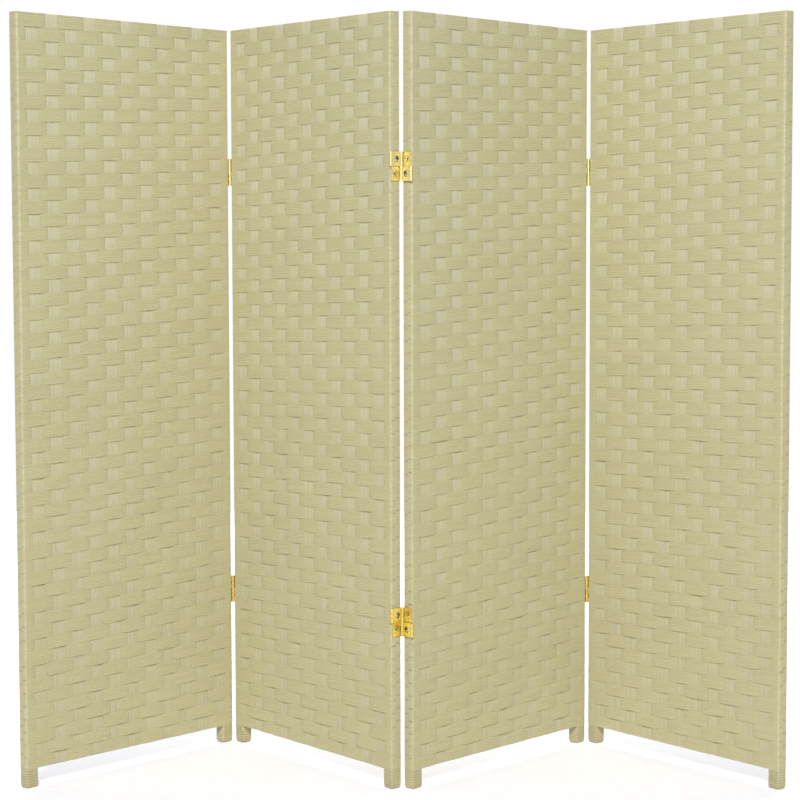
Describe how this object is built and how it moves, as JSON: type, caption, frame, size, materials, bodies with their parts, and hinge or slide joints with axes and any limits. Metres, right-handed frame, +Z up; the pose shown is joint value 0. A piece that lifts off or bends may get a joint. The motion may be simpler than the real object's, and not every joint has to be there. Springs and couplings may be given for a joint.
{
  "type": "woven fiber folding screen",
  "caption": "Free-standing folding room screen: flat panels covered in basket-woven paper cord over timber frames, on short feet, joined by brass double-action hinges.",
  "frame": {"origin": "middle of the footprint, on the floor", "axes": "+Z up, front of the screen towards -Y, +X to the right along the line of the zigzag"},
  "size_m": [1.214, 0.363, 1.219],
  "materials": {
    "woven_fibre": "twisted paper cord, matt, basket weave",
    "frame_timber": "plain sawn softwood",
    "hinge_brass": "bright plated",
    "screw_steel": "bright, cross recess"
  },
  "bodies": {
    "panel_1": {"left_fold_low_hinge_left_leaf": "hinge_brass", "left_fold_low_hinge_lower_link": "hinge_brass", "left_fold_top_hinge_left_leaf": "hinge_brass", "left_fold_top_hinge_lower_link": "hinge_brass", "panel_1_bottom_rail": "frame_timber", "panel_1_foot_sleeves": "woven_fibre", "panel_1_hinge_pins": "hinge_brass", "panel_1_hinge_screws": "screw_steel", "panel_1_left_stile": "frame_timber", "panel_1_right_stile": "frame_timber", "panel_1_top_rail": "frame_timber", "panel_1_woven_cover": "woven_fibre"},
    "panel_2": {"left_fold_low_hinge_right_leaf": "hinge_brass", "left_fold_low_hinge_upper_link": "hinge_brass", "left_fold_top_hinge_right_leaf": "hinge_brass", "left_fold_top_hinge_upper_link": "hinge_brass", "middle_fold_low_hinge_left_leaf": "hinge_brass", "middle_fold_low_hinge_upper_link": "hinge_brass", "middle_fold_top_hinge_left_leaf": "hinge_brass", "middle_fold_top_hinge_upper_link": "hinge_brass", "panel_2_bottom_rail": "frame_timber", "panel_2_foot_sleeves": "woven_fibre", "panel_2_hinge_pins": "hinge_brass", "panel_2_hinge_screws": "screw_steel", "panel_2_left_stile": "frame_timber", "panel_2_right_stile": "frame_timber", "panel_2_top_rail": "frame_timber", "panel_2_woven_cover": "woven_fibre"},
    "panel_3": {"middle_fold_low_hinge_lower_link": "hinge_brass", "middle_fold_low_hinge_right_leaf": "hinge_brass", "middle_fold_top_hinge_lower_link": "hinge_brass", "middle_fold_top_hinge_right_leaf": "hinge_brass", "panel_3_bottom_rail": "frame_timber", "panel_3_foot_sleeves": "woven_fibre", "panel_3_hinge_pins": "hinge_brass", "panel_3_hinge_screws": "screw_steel", "panel_3_left_stile": "frame_timber", "panel_3_right_stile": "frame_timber", "panel_3_top_rail": "frame_timber", "panel_3_woven_cover": "woven_fibre", "right_fold_low_hinge_left_leaf": "hinge_brass", "right_fold_low_hinge_lower_link": "hinge_brass", "right_fold_top_hinge_left_leaf": "hinge_brass", "right_fold_top_hinge_lower_link": "hinge_brass"},
    "panel_4": {"panel_4_bottom_rail": "frame_timber", "panel_4_foot_sleeves": "woven_fibre", "panel_4_hinge_pins": "hinge_brass", "panel_4_hinge_screws": "screw_steel", "panel_4_left_stile": "frame_timber", "panel_4_right_stile": "frame_timber", "panel_4_top_rail": "frame_timber", "panel_4_woven_cover": "woven_fibre", "right_fold_low_hinge_right_leaf": "hinge_brass", "right_fold_low_hinge_upper_link": "hinge_brass", "right_fold_top_hinge_right_leaf": "hinge_brass", "right_fold_top_hinge_upper_link": "hinge_brass"}
  },
  "joints": [
    {"name": "left_fold", "type": "hinge", "parent": "panel_2", "child": "panel_1", "pos_m": [-0.30496, 0.16577, 0], "axis": [0, 0, -1], "range_deg": [-80, 100]},
    {"name": "middle_fold", "type": "hinge", "parent": "panel_2", "child": "panel_3", "pos_m": [0, -0.16577, 0], "axis": [0, 0, -1], "range_deg": [-79, 100]},
    {"name": "right_fold", "type": "hinge", "parent": "panel_3", "child": "panel_4", "pos_m": [0.30496, 0.16577, 0], "axis": [0, 0, 1], "range_deg": [-80, 100]}
  ]
}
